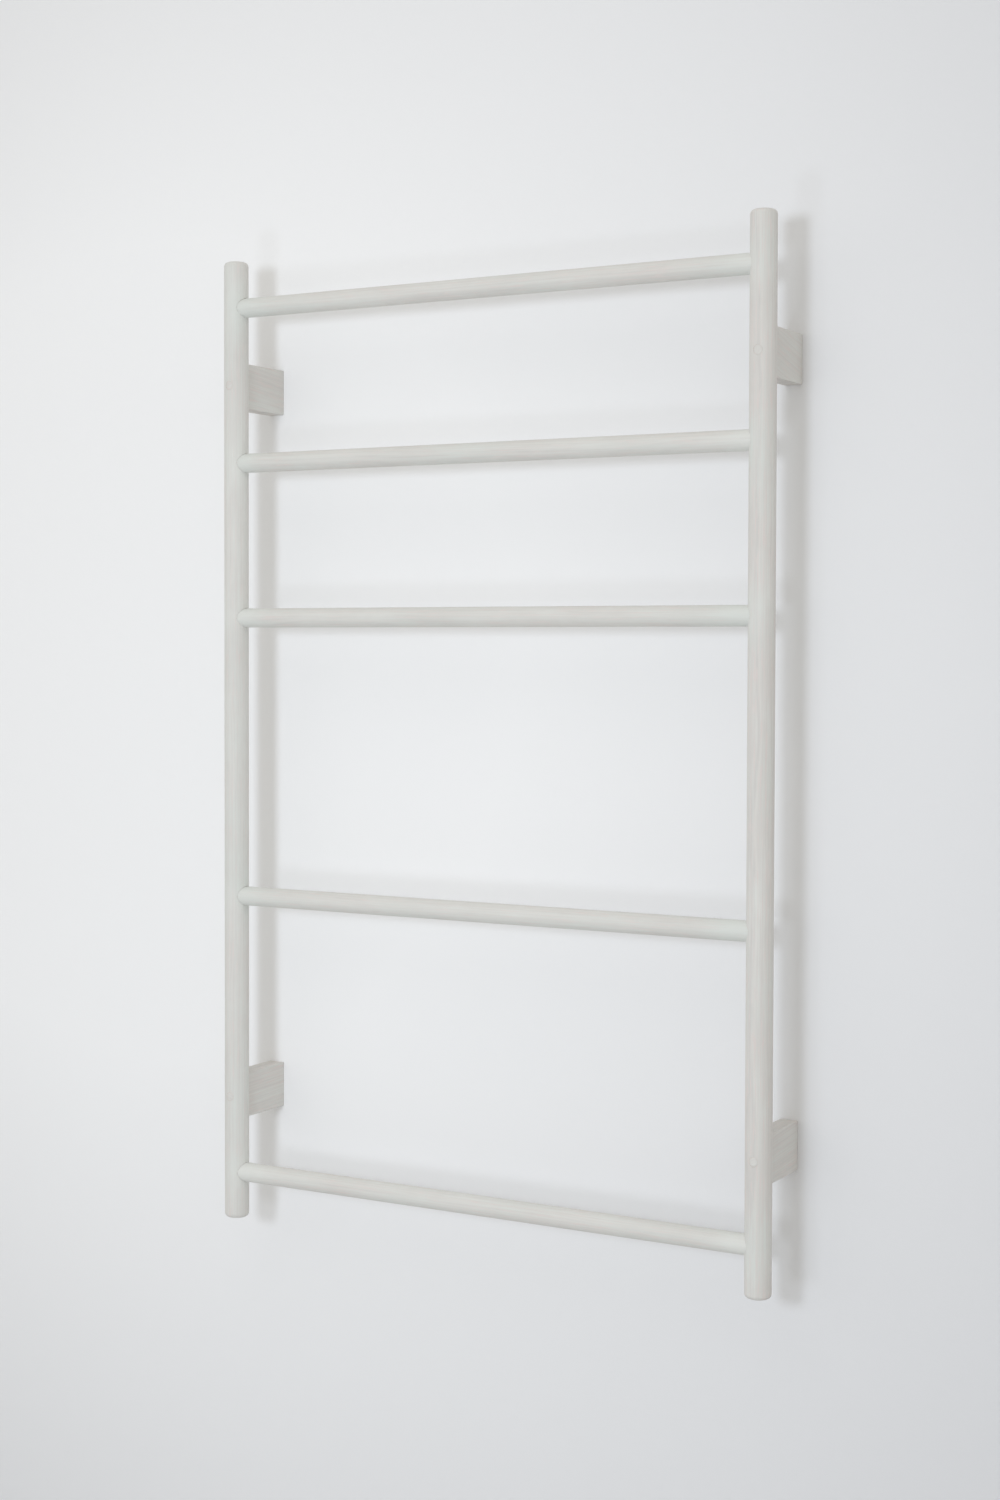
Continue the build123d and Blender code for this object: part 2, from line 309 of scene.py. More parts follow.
MATERIALS = {
    "paint": painted_wood("thin_grey_paint", cover=0.42, contrast=0.5),
    "thinner_paint": painted_wood("thinner_grey_paint", cover=0.18, contrast=0.65),
    "block_paint": painted_wood("thin_grey_paint_on_block", cover=0.25, contrast=0.6),
    "plug_paint": painted_wood("thin_grey_paint_on_plug", cover=0.18, contrast=0.5),
    "beech": bare_wood("bare_beech", light=(0.62, 0.43, 0.27), dark=(0.50, 0.32, 0.18)),
    "steel": zinc_steel(
        "zinc_on_turned_steel",
        light=(0.66, 0.68, 0.70),
        dark=(0.52, 0.54, 0.56),
        marks_per_metre=(900, 900, 5000),
    ),
    "plate": zinc_steel(
        "zinc_on_rolled_steel",
        light=(0.68, 0.70, 0.71),
        dark=(0.56, 0.58, 0.60),
        marks_per_metre=(2600, 500, 60),
    ),
}


# ---------------------------------------------------------------- mesh helpers
def turned(profile, segments, place=Matrix.Identity(4)):
    """A closed solid turned about Z from (radius, z) points, whose first and last lie on the axis."""
    bm = bmesh.new()
    rows = []
    for radius, z in profile:
        if radius == 0:
            rows.append([bm.verts.new((0, 0, z))])
            continue
        row = []
        for step in range(segments):
            angle = 2 * math.pi * step / segments
            row.append(bm.verts.new((radius * math.cos(angle), radius * math.sin(angle), z)))
        rows.append(row)
    for low, high in zip(rows, rows[1:]):
        for step in range(segments):
            after = (step + 1) % segments
            if len(low) == 1:
                bm.faces.new((low[0], high[after], high[step]))
            elif len(high) == 1:
                bm.faces.new((low[step], low[after], high[0]))
            else:
                bm.faces.new((low[step], low[after], high[after], high[step]))
    bmesh.ops.transform(bm, matrix=place, verts=bm.verts)
    return bm


def prism(outline, z_low, z_high, place=Matrix.Identity(4)):
    """A closed solid between two heights, with an outline of (x, y) points that runs anticlockwise."""
    bm = bmesh.new()
    low = [bm.verts.new((x, y, z_low)) for x, y in outline]
    high = [bm.verts.new((x, y, z_high)) for x, y in outline]
    bm.faces.new(reversed(low))
    bm.faces.new(high)
    for step in range(len(outline)):
        after = (step + 1) % len(outline)
        bm.faces.new((low[step], low[after], high[after], high[step]))
    bmesh.ops.transform(bm, matrix=place, verts=bm.verts)
    return bm


def arc(centre, radius, start, end, steps):
    """Points on an arc, with angles in degrees."""
    points = []
    for step in range(steps + 1):
        angle = math.radians(start + (end - start) * step / steps)
        points.append((centre[0] + radius * math.cos(angle), centre[1] + radius * math.sin(angle)))
    return points


def rounded_rectangle(width, height, radius, steps):
    points = []
    corners = ((1, -1, -90), (1, 1, 0), (-1, 1, 90), (-1, -1, 180))
    for side_x, side_y, start in corners:
        centre = (side_x * (width / 2 - radius), side_y * (height / 2 - radius))
        points += arc(centre, radius, start, start + 90, steps)
    return points


def evenly(start, end, spacing):
    """Numbers from start to end, both included, about the given spacing apart."""
    count = max(1, round(abs(end - start) / spacing))
    return [start + (end - start) * step / count for step in range(count + 1)]


def joined(parts):
    """One bmesh that holds several, which are used up."""
    whole = bmesh.new()
    for part in parts:
        mesh = bpy.data.meshes.new("part")
        part.to_mesh(mesh)
        part.free()
        whole.from_mesh(mesh)
        bpy.data.meshes.remove(mesh)
    return whole


def object_from(bm, name, material):
    mesh = bpy.data.meshes.new(name)
    bm.to_mesh(mesh)
    bm.free()
    mesh.materials.append(MATERIALS[material])
    piece = bpy.data.objects.new(name, mesh)
    bpy.context.scene.collection.objects.link(piece)
    return piece


def with_modifiers_applied(piece):
    """Replace a piece's mesh by what its modifiers make of it."""
    evaluated = piece.evaluated_get(bpy.context.evaluated_depsgraph_get())
    made = bpy.data.meshes.new_from_object(evaluated)
    piece.modifiers.clear()
    before = piece.data
    piece.data = made
    bpy.data.meshes.remove(before)


def cut(piece, tools, material):
    """Cut closed solids out of a piece. The cut faces get their own material."""
    cutter = object_from(joined(tools), "cutter", material)
    modifier = piece.modifiers.new("cut", "BOOLEAN")
    modifier.operation = "DIFFERENCE"
    modifier.solver = "EXACT"
    modifier.material_mode = "TRANSFER"
    modifier.object = cutter
    with_modifiers_applied(piece)
    cutter_mesh = cutter.data
    bpy.data.objects.remove(cutter)
    bpy.data.meshes.remove(cutter_mesh)


def soften(piece, sharp_angle):
    """Smooth shading, which keeps sharp edges and leaves flat faces flat beside rounded edges."""
    piece.data.shade_smooth()
    piece.data.set_sharp_from_angle(angle=math.radians(sharp_angle))
    modifier = piece.modifiers.new("normals", "WEIGHTED_NORMAL")
    modifier.keep_sharp = True
    with_modifiers_applied(piece)


def store(piece, name, kind, values):
    """Keep a value for each vertex, which a material reads by name."""
    layer = piece.data.attributes.new(name, kind, "POINT")
    key = "vector" if kind == "FLOAT_VECTOR" else "value"
    flat = [number for value in values for number in value] if kind == "FLOAT_VECTOR" else values
    layer.data.foreach_set(key, flat)


def set_grain(piece, centre, across, along, seed):
    """Wood grain runs along the direction along. The seed gives each piece wood of its own."""
    up = Vector(along).normalized()
    side = Vector(across).normalized()
    third = up.cross(side)
    offset = Vector((0.37, 0.71, 1.13)) * seed
    values = []
    for vertex in piece.data.vertices:
        place = vertex.co - centre
        values.append(Vector((place.dot(side), place.dot(third), place.dot(up))) + offset)
    store(piece, "grain", "FLOAT_VECTOR", values)


def set_paint(piece, thickness):
    """thickness gives the paint's extra thickness, from 0 to 1, at a point."""
    store(piece, "paint", "FLOAT", [thickness(vertex.co) for vertex in piece.data.vertices])


def keep(piece, node):
    """The finished piece stands for its CAD node."""
    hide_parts(node)
    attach(piece, "root")


# Turned along Z, and laid along another axis
ALONG_X = Matrix.Rotation(math.pi / 2, 4, "Y")
ALONG_Y = Matrix.Rotation(-math.pi / 2, 4, "X")


def at(x, y, z):
    return Matrix.Translation((x, y, z))


def uneven(bm, axis, amount, seed):
    """Sanded round bars aren't perfect: move the surface in by up to about amount."""
    for vertex in bm.verts:
        away = vertex.co.copy()
        away[axis] = 0
        if away.length > 2 * MM:
            place = vertex.co * 22
            place[axis] = vertex.co[axis] * 14
            depth = 0.5 + noise.noise(place + Vector((seed, seed, seed)))
            vertex.co -= away.normalized() * amount * depth


# ---------------------------------------------------------------- uprights
UPRIGHT_SEGMENTS = 160
UPRIGHT_STEP = 8 * MM
UNEVEN = 0.07 * MM
JOINT_PAINT_REACH = 30 * MM
UPRIGHT_PAINT = {"left": "paint", "right": "thinner_paint"}


def upright(side_name, side):
    half = UPRIGHT_LENGTH / 2
    corner = (UPRIGHT_R - END_ROUNDING, half - END_ROUNDING)
    top = [(radius, z) for radius, z in arc(corner, END_ROUNDING, 0, 90, 8)]
    bottom = [(radius, -z) for radius, z in reversed(top)]
    straight = [(UPRIGHT_R, z) for z in evenly(bottom[-1][1], top[0][1], UPRIGHT_STEP)[1:-1]]
    caps = [(UPRIGHT_R * share, half) for share in (0.4, 0.2)]
    profile = [(0, -half)] + [(r, -z) for r, z in reversed(caps)] + bottom
    profile += straight + top + caps + [(0, half)]
    bar = turned(profile, UPRIGHT_SEGMENTS)
    uneven(bar, 2, UNEVEN, seed=4.7 + side)
    bmesh.ops.translate(bar, vec=(side * UPRIGHT_X, RAIL_Y, 0), verts=bar.verts)
    piece = object_from(bar, f"upright_{side_name}_turned", UPRIGHT_PAINT[side_name])

    facing_in = Matrix.Rotation(math.pi if side > 0 else 0, 4, "Z") @ ALONG_X
    tools = []
    for z in RUNG_Z:
        socket = [
            (0, SOCKET_FLOOR - TENON_LENGTH - MORTISE_SPARE),
            (TENON_R + SOCKET_GAP, SOCKET_FLOOR - TENON_LENGTH - MORTISE_SPARE),
            (TENON_R + SOCKET_GAP, SOCKET_FLOOR),
            (RUNG_R + SOCKET_GAP, SOCKET_FLOOR),
            (RUNG_R + SOCKET_GAP, 2 * UPRIGHT_R),
            (0, 2 * UPRIGHT_R),
        ]
        tools.append(turned(socket, 112, at(side * UPRIGHT_X, RAIL_Y, z + SOCKET_RISE) @ facing_in))
    for level in LEVELS.values():
        back = at(side * UPRIGHT_X, RAIL_Y, level * BLOCK_Z) @ ALONG_Y
        through = [
            (0, -2 * UPRIGHT_R),
            (PLUG_R + HOLE_PLAY, -2 * UPRIGHT_R),
            (PLUG_R + HOLE_PLAY, COUNTERBORE_DEPTH - UPRIGHT_R),
            (BLOCK_SCREW_R + HOLE_PLAY, COUNTERBORE_DEPTH - UPRIGHT_R),
            (BLOCK_SCREW_R + HOLE_PLAY, 2 * UPRIGHT_R),
            (0, 2 * UPRIGHT_R),
        ]
        tools.append(turned(through, 64, back))
        for end in (-1, 1):
            blind = [
                (0, UPRIGHT_R - DOWEL_IN_UPRIGHT),
                (DOWEL_R + HOLE_PLAY, UPRIGHT_R - DOWEL_IN_UPRIGHT),
                (DOWEL_R + HOLE_PLAY, 2 * UPRIGHT_R),
                (0, 2 * UPRIGHT_R),
            ]
            tools.append(turned(blind, 40, at(0, 0, end * DOWEL_OFFSET) @ back))
    cut(piece, tools, "beech")
    soften(piece, 32)
    set_grain(piece, Vector((side * UPRIGHT_X, RAIL_Y, 0)), (1, 0, 0), (0, 0, 1), seed=3.1 + side)

    def thickness(point):
        inner_side = (side * (UPRIGHT_X - UPRIGHT_R), RAIL_Y)
        away = min(math.dist(point, (*inner_side, z)) for z in RUNG_Z)
        return 0.8 * math.exp(-((away / JOINT_PAINT_REACH) ** 2))

    set_paint(piece, thickness)
    keep(piece, f"upright_{side_name}")


# ---------------------------------------------------------------- rungs
RUNG_SEGMENTS = 128
RUNG_STEP = 8 * MM
TENON_CHAMFER = 1 * MM
SHOULDER_EASE = 0.3 * MM


def rung(number, z):
    half = RUNG_LENGTH / 2
    shoulder = half - TENON_LENGTH
    end = [
        (RUNG_R, shoulder - SHOULDER_EASE),
        (RUNG_R - SHOULDER_EASE, shoulder),
        (TENON_R, shoulder),
        (TENON_R, half - TENON_CHAMFER),
        (TENON_R - TENON_CHAMFER, half),
        (0, half),
    ]
    straight = [(RUNG_R, along) for along in evenly(-end[0][1], end[0][1], RUNG_STEP)[1:-1]]
    profile = [(radius, -along) for radius, along in reversed(end)] + straight + end
    bar = turned(profile, RUNG_SEGMENTS, ALONG_X)
    uneven(bar, 0, UNEVEN, seed=11.3 * number)
    bmesh.ops.translate(bar, vec=(0, RAIL_Y, z), verts=bar.verts)
    piece = object_from(bar, f"rung_{number}_turned", "paint")
    soften(piece, 32)
    set_grain(piece, Vector((0, RAIL_Y, z)), (0, 1, 0), (1, 0, 0), seed=5.3 + 1.7 * number)

    def thickness(point):
        nearest = abs(UPRIGHT_X - abs(point.x)) - UPRIGHT_R
        return math.exp(-((max(0.0, nearest) / JOINT_PAINT_REACH) ** 2))

    set_paint(piece, thickness)
    keep(piece, f"rung_{number}")


# ---------------------------------------------------------------- brackets
ARRIS = 0.9 * MM
BLOCK_GRAIN_SLOPE = {"upper_left": -0.08, "upper_right": -0.22, "lower_left": 0.04, "lower_right": 0.06}
SADDLE_GAP = 0.08 * MM
PLATE_PLAY = 0.1 * MM
PLATE_CORNER = 3 * MM
POCKET_WIDTH = 10.4 * MM
POCKET_DEPTH = 10 * MM
PLATE_SCREW_R = 1.4 * MM
PLATE_SCREW_LENGTH = 14 * MM


def slot_outline(width, top, length):
    """A slot with round ends, in (x, height) points, from the centre of its upper end down."""
    upper = arc((0, top), width / 2, 0, 180, 20)
    lower = arc((0, top - length), width / 2, 180, 360, 20)
    return upper + lower


# An outline in (x, z) that is pushed along Y: local Z becomes -Y
FACING_WALL = Matrix.Rotation(math.pi / 2, 4, "X")


def bracket(place_name):
    node = f"bracket_{place_name}"
    low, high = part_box(node)
    centre = (low + high) / 2
    bm = bmesh.new()
    front = RAIL_Y + UPRIGHT_R / 2
    size = Vector((BLOCK.x, high.y - front, BLOCK.z))
    bmesh.ops.create_cube(bm, size=1.0)
    bmesh.ops.scale(bm, vec=size, verts=bm.verts)
    bmesh.ops.bevel(bm, geom=bm.edges[:], offset=ARRIS, segments=5, profile=0.5, affect="EDGES")
    bmesh.ops.translate(bm, vec=(centre.x, (high.y + front) / 2, centre.z), verts=bm.verts)
    piece = object_from(bm, f"{node}_sawn", "block_paint")

    recess_depth = high.y - PLATE_BACK + PLATE.y
    base = at(centre.x, high.y, centre.z) @ FACING_WALL
    saddle_r = UPRIGHT_R + SADDLE_GAP
    saddle = [(0, -BLOCK.z), (saddle_r, -BLOCK.z), (saddle_r, BLOCK.z), (0, BLOCK.z)]
    cut(piece, [turned(saddle, 256, at(centre.x, RAIL_Y, centre.z))], "beech")
    width = PLATE.x + 2 * PLATE_PLAY
    height = PLATE.z + 2 * PLATE_PLAY
    recess = rounded_rectangle(width, height, PLATE_CORNER + PLATE_PLAY, 8)
    cut(piece, [prism(recess, -2 * MM, recess_depth, base)], "beech")
    pocket = slot_outline(POCKET_WIDTH, KEYHOLE_TOP, KEYHOLE_LENGTH)
    cut(piece, [prism(pocket, recess_depth / 2, POCKET_DEPTH, base)], "beech")

    # Holes along Y: (radius, height from the middle, start, end)
    tools = []
    clear = front - 2 * MM
    screw_end = BLOCK_SCREW_SEAT + BLOCK_SCREW_LENGTH + 1 * MM
    holes = [(BLOCK_SCREW_R, 0, clear, screw_end)]
    for end in (-1, 1):
        dowel_end = RAIL_Y + UPRIGHT_R + DOWEL_IN_BLOCK
        holes.append((DOWEL_R, end * DOWEL_OFFSET, clear, dowel_end))
        plate_screw_end = high.y - PLATE_SCREW_LENGTH - 1 * MM
        holes.append((PLATE_SCREW_R, end * PLATE_HOLE_OFFSET, plate_screw_end, high.y + 1 * MM))
    for radius, offset, start, stop in holes:
        wide = radius + HOLE_PLAY
        profile = [(0, start), (wide, start), (wide, stop), (0, stop)]
        tools.append(turned(profile, 40, at(centre.x, 0, centre.z + offset) @ ALONG_Y))
    cut(piece, tools, "beech")
    soften(piece, 28)
    seed = 21.0 + 2.3 * PLACES.index(place_name)
    set_grain(piece, centre, (1, 0, 0), (0, 1, BLOCK_GRAIN_SLOPE[place_name]), seed)

    def thickness(point):
        on_top_or_bottom = abs(point.z - centre.z) > BLOCK.z / 2 - 0.1 * MM
        return -0.7 if on_top_or_bottom else 0.0

    set_paint(piece, thickness)
    keep(piece, node)


# ---------------------------------------------------------------- plugs and dowels
# Each plug's grain is turned its own way, in radians from level
PLUG_GRAIN_TURN = {"upper_left": 0.5, "upper_right": 0.9, "lower_left": -0.4, "lower_right": 0.35}
PLUG_BACK_CHAMFER = 0.4 * MM
PLUG_RIM_STEP = 0.07 * MM
PLUG_RIM_BREAK = 0.12 * MM
DOWEL_CHAMFER = 0.8 * MM
FLUTES = 16
FLUTE_DEPTH = 0.22 * MM


def plug(place_name):
    """A short round plug, trimmed with the round of the upright, with a finely broken rim."""
    node = f"screw_plug_{place_name}"
    low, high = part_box(node)
    centre = (low + high) / 2
    rings = [(0, high.y), (PLUG_R * 0.6, high.y), (PLUG_R - PLUG_BACK_CHAMFER, high.y)]
    rings += [(PLUG_R, high.y - PLUG_BACK_CHAMFER)]
    rings += [(PLUG_R, y) for y in evenly(high.y - 0.8 * MM, low.y + 1.6 * MM, 0.8 * MM)]
    face = [PLUG_R, PLUG_R - PLUG_RIM_STEP]
    face += [PLUG_R * share for share in (0.9, 0.75, 0.6, 0.45, 0.3, 0.15)]
    rings += [(radius, low.y) for radius in face] + [(0, low.y)]
    bm = turned(rings, 72, at(centre.x, 0, centre.z) @ ALONG_Y)
    bmesh.ops.reverse_faces(bm, faces=bm.faces)
    for vertex in bm.verts:
        if vertex.co.y > low.y + 1e-6:
            continue
        across = vertex.co.x - centre.x
        from_axis = math.hypot(across, vertex.co.z - centre.z)
        broken = max(0.0, from_axis - (PLUG_R - PLUG_RIM_BREAK))
        vertex.co.y = RAIL_Y - math.sqrt(UPRIGHT_R**2 - across**2) + broken
    piece = object_from(bm, f"{node}_trimmed", "plug_paint")
    soften(piece, 40)
    turn = PLUG_GRAIN_TURN[place_name]
    set_grain(piece, centre, (0, 1, 0), (math.cos(turn), 0, math.sin(turn)), seed=51.0 + turn)

    # The rim gets less paint, so the darker wood shows in a thin ring. This is partly the thin paint at
    # a plug's rim and partly painted shade for the seam round the plug.
    def thickness(point):
        on_rim_with_painted_seam_shade = math.hypot(point.x - centre.x, point.z - centre.z) > 0.85 * PLUG_R
        return -1.0 if on_rim_with_painted_seam_shade else 0.0

    set_paint(piece, thickness)
    keep(piece, node)


def fluted_dowels(place_name):
    """Two dowels with pressed flutes and chamfered ends."""
    node = f"bracket_dowels_{place_name}"
    low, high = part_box(node)
    centre = (low + high) / 2
    small_r = DOWEL_R - DOWEL_CHAMFER
    rows = [(0, low.y), (DOWEL_R * 0.5, low.y), (small_r, low.y), (DOWEL_R, low.y + DOWEL_CHAMFER)]
    rows += [(DOWEL_R, y) for y in evenly(low.y + 2 * MM, high.y - 2 * MM, 2 * MM)]
    rows += [(DOWEL_R, high.y - DOWEL_CHAMFER), (small_r, high.y), (DOWEL_R * 0.5, high.y), (0, high.y)]
    parts = []
    for end in (-1, 1):
        z = centre.z + end * DOWEL_OFFSET
        bm = turned(rows, FLUTES * 6, at(centre.x, 0, z) @ ALONG_Y)
        for vertex in bm.verts:
            away = Vector((vertex.co.x - centre.x, 0, vertex.co.z - z))
            if away.length > DOWEL_R - 0.5 * DOWEL_CHAMFER:
                wave = 0.5 - 0.5 * math.cos(FLUTES * math.atan2(away.z, away.x))
                vertex.co -= away.normalized() * FLUTE_DEPTH * wave**2
        parts.append(bm)
    piece = object_from(joined(parts), f"{node}_fluted", "beech")
    soften(piece, 40)
    set_grain(piece, centre, (1, 0, 0), (0, 1, 0), seed=61.0 + PLACES.index(place_name))
    keep(piece, node)


# ---------------------------------------------------------------- screws
# One turn of a thread: (share of the pitch, height from 0 at the root to 1 at the crest)
THREAD_PROFILE = ((0.0, 0.0), (0.24, 0.0), (0.46, 1.0), (0.54, 1.0), (0.76, 0.0))
SCREW_SEGMENTS = 48
TIP_CUT = 0.1 * MM  # the thread's point ends in a tiny flat
TIP_R = 0.06 * MM
RECESS_DEPTH = 1.5 * MM
RECESS_ARM = 0.9 * MM
RECESS_TAPER = 0.55


def pan_head(radius, height):
    """A low domed head above a flat bearing face, from its top down."""
    dome = [(radius * 0.62, -height), (radius * 0.8, -height * 0.95), (radius * 0.92, -height * 0.8)]
    return dome + [(radius, -height * 0.5), (radius, -0.12 * MM), (radius - 0.12 * MM, 0)]


def sunk_head(radius, shank_r):
    """A countersunk head with a flat top, from its top down."""
    height = radius - shank_r
    rim = [(radius - 0.15 * MM, -height), (radius, -height + 0.12 * MM)]
    return rim + [(shank_r + 0.1 * MM, -0.1 * MM)]


def screw(head, shank_r, root_r, crest_r, start, length, pitch, tip):
    """A wood screw that points along +Z. Its head ends at z = 0 and its thread starts at start."""
    bm = bmesh.new()
    end = length - TIP_CUT

    def vertex(radius, z, step):
        angle = 2 * math.pi * step / SCREW_SEGMENTS
        return bm.verts.new((radius * math.cos(angle), radius * math.sin(angle), z))

    def thread_vertex(turns, height, step):
        z = start + (turns + step / SCREW_SEGMENTS) * pitch
        z = min(max(z, start), end)
        taper = min(1.0, (length - z) / tip)
        fade = min(taper, (z - start) / pitch)
        radius = root_r * taper + (crest_r - root_r) * height * fade
        return vertex(max(TIP_R, radius), z, step)

    plain = [*head, (shank_r, 0)]
    if start > 1 * MM:
        plain.append((shank_r, start - 0.6 * MM))
    steps = range(SCREW_SEGMENTS)
    rows = [[vertex(radius, z, step) for step in steps] for radius, z in plain]
    for turn in range(-1, math.ceil((end - start) / pitch) + 1):
        for share, height in THREAD_PROFILE:
            rows.append([thread_vertex(turn + share, height, step) for step in steps])

    # Round the seam, a row of the thread goes on as the row one turn further
    after_seam = []
    for number in range(len(rows)):
        on = number + len(THREAD_PROFILE) if number >= len(plain) else number
        after_seam.append(rows[min(on, len(rows) - 1)][0])
    for number in range(len(rows) - 1):
        low = [*rows[number], after_seam[number]]
        high = [*rows[number + 1], after_seam[number + 1]]
        for step in steps:
            corners = dict.fromkeys((low[step], low[step + 1], high[step + 1], high[step]))
            if len(corners) > 2:
                bm.faces.new(corners)
    bm.faces.new(reversed(rows[0]))
    bm.faces.new(rows[-1])
    bmesh.ops.remove_doubles(bm, verts=bm.verts, dist=1e-7)
    return bm


def cross_arm(width, face, turn):
    """One arm of the cross in a screw's head. It narrows on its way down from the face."""
    outline = ((width / 2, RECESS_ARM / 2), (-width / 2, RECESS_ARM / 2))
    outline += ((-width / 2, -RECESS_ARM / 2), (width / 2, -RECESS_ARM / 2))
    place = Matrix.Rotation(math.radians(turn), 4, "Z")
    bm = prism(outline, face - 0.5 * MM, face + RECESS_DEPTH, place)
    for vertex in bm.verts:
        if vertex.co.z > face:
            vertex.co.x *= RECESS_TAPER
            vertex.co.y *= RECESS_TAPER
    return bm


def finished_screw(head, recess_width, **sizes):
    """The mesh of a screw with the cross cut into its head."""
    blank = object_from(screw(head, **sizes), "blank", "steel")
    for turn in (0, 90):
        cut(blank, [cross_arm(recess_width, head[0][1], turn)], "steel")
    mesh = blank.data
    bpy.data.objects.remove(blank)
    return mesh


BLOCK_SCREW_HEAD = pan_head(3.5 * MM, 2.4 * MM)
WALL_SCREW_HEAD = pan_head(4 * MM, 2.8 * MM)
PLATE_SCREW_HEAD_R = 3 * MM
PLATE_SCREW_HEAD_HEIGHT = PLATE_SCREW_HEAD_R - PLATE_SCREW_R
WALL_SCREW_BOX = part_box("wall_screw_upper_right")
WALL_SCREW_SEAT = WALL_SCREW_BOX[0].y - WALL_SCREW_HEAD[0][1]

SCREWS = {
    "bracket_screw": finished_screw(
        BLOCK_SCREW_HEAD,
        recess_width=3.85 * MM,
        shank_r=1.2 * MM,
        root_r=1.1 * MM,
        crest_r=BLOCK_SCREW_R,
        start=18 * MM,
        length=BLOCK_SCREW_LENGTH,
        pitch=1.8 * MM,
        tip=5 * MM,
    ),
    "wall_screw": finished_screw(
        WALL_SCREW_HEAD,
        recess_width=4.4 * MM,
        shank_r=1.7 * MM,
        root_r=1.5 * MM,
        crest_r=2.25 * MM,
        start=-WALL_SCREW_SEAT,
        length=WALL_SCREW_BOX[1].y - WALL_SCREW_SEAT,
        pitch=2.2 * MM,
        tip=5 * MM,
    ),
    "plate_screws": finished_screw(
        sunk_head(PLATE_SCREW_HEAD_R, PLATE_SCREW_R),
        recess_width=3 * MM,
        shank_r=1.1 * MM,
        root_r=0.95 * MM,
        crest_r=PLATE_SCREW_R,
        start=0.6 * MM,
        length=extent("plate_screws_upper_right").y - PLATE_SCREW_HEAD_HEIGHT,
        pitch=1.3 * MM,
        tip=2.5 * MM,
    ),
}


def place_screws(kind, place_name, places):
    node = f"{kind}_{place_name}"
    whole = []
    for place in places:
        bm = bmesh.new()
        bm.from_mesh(SCREWS[kind])
        bmesh.ops.transform(bm, matrix=place, verts=bm.verts)
        whole.append(bm)
    piece = object_from(joined(whole), f"{node}_threaded", "steel")
    soften(piece, 35)
    set_grain(piece, middle(node), (1, 0, 0), (0, 1, 0), seed=71.0 + PLACES.index(place_name))
    keep(piece, node)


def screws(place_name):
    axis = middle(f"wall_screw_{place_name}")
    place_screws("bracket_screw", place_name, [at(axis.x, BLOCK_SCREW_SEAT, axis.z) @ ALONG_Y])
    place_screws("wall_screw", place_name, [at(axis.x, WALL_SCREW_SEAT, axis.z) @ ALONG_Y])
    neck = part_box(f"plate_screws_{place_name}")[1].y - PLATE_SCREW_HEAD_HEIGHT
    heights = (axis.z - PLATE_HOLE_OFFSET, axis.z + PLATE_HOLE_OFFSET)
    place_screws("plate_screws", place_name, [at(axis.x, neck, z) @ FACING_WALL for z in heights])


# ---------------------------------------------------------------- keyhole plates
KEYHOLE_ENTRY_R = 4.7 * MM
KEYHOLE_SLOT = 4.6 * MM
PLATE_HOLE_R = 1.7 * MM
PLATE_SINK_R = 3.1 * MM
PLATE_EDGE = 0.15 * MM


def keyhole_outline():
    """A round entry below a slot with a round top, in (x, height) points."""
    entry_z = KEYHOLE_TOP - KEYHOLE_LENGTH
    half = KEYHOLE_SLOT / 2
    meet = math.degrees(math.acos(half / KEYHOLE_ENTRY_R))
    top = arc((0, KEYHOLE_TOP), half, 0, 180, 20)
    entry = arc((0, entry_z), KEYHOLE_ENTRY_R, 180 - meet, 360 + meet, 40)
    return top + entry


def hanger_plate(place_name):
    node = f"hanger_plate_{place_name}"
    low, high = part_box(node)
    centre = (low + high) / 2
    base = at(centre.x, high.y, centre.z) @ FACING_WALL
    thickness = high.y - low.y
    bm = prism(rounded_rectangle(PLATE.x, PLATE.z, PLATE_CORNER, 10), 0, thickness)
    rims = [edge for edge in bm.edges if abs(edge.verts[0].co.z - edge.verts[1].co.z) < 1e-7]
    bmesh.ops.bevel(bm, geom=rims, offset=PLATE_EDGE, segments=2, profile=0.5, affect="EDGES")
    bmesh.ops.transform(bm, matrix=base, verts=bm.verts)
    piece = object_from(bm, f"{node}_pressed", "plate")
    tools = [prism(keyhole_outline(), -1 * MM, thickness + 1 * MM, base)]
    sink = PLATE_SINK_R - PLATE_HOLE_R
    profile = [
        (0, -1 * MM),
        (PLATE_SINK_R, -1 * MM),
        (PLATE_SINK_R, 0),
        (PLATE_HOLE_R, sink),
        (PLATE_HOLE_R, thickness + 1 * MM),
        (0, thickness + 1 * MM),
    ]
    for end in (-1, 1):
        tools.append(turned(profile, 48, at(0, 0, end * PLATE_HOLE_OFFSET) @ base))
    cut(piece, tools, "plate")
    soften(piece, 30)
    set_grain(piece, centre, (1, 0, 0), (0, 0, 1), seed=81.0 + PLACES.index(place_name))
    keep(piece, node)


# ---------------------------------------------------------------- the whole ladder
for side_name, side in SIDES.items():
    upright(side_name, side)
for number, height in enumerate(RUNG_Z, start=1):
    rung(number, height)
for place_name in PLACES:
    bracket(place_name)
    plug(place_name)
    fluted_dowels(place_name)
    screws(place_name)
    hanger_plate(place_name)
for mesh in SCREWS.values():
    bpy.data.meshes.remove(mesh)


# ---------------------------------------------------------------- wall, floor and light
# Painted light on the backdrop: its colour is brightest near one spot and falls to a darker, cooler
# painted shade farther away.
WALL_IN_PAINTED_LIGHT = (0.905, 0.905, 0.905)
WALL_IN_PAINTED_SHADE = (0.700, 0.703, 0.715)
PAINTED_LIGHT_SPOT = (-0.5, 0.1)
PAINTED_LIGHT_ENDS = 0.5  # distance from the spot
PAINTED_SHADE_STARTS = 1.4
FLOOR_COLOUR = (0.68, 0.68, 0.67)
FLOOR_Z = -1.4
WALL_WIDTH = 9
WALL_HEIGHT = 6
FLOOR_WIDTH = 14


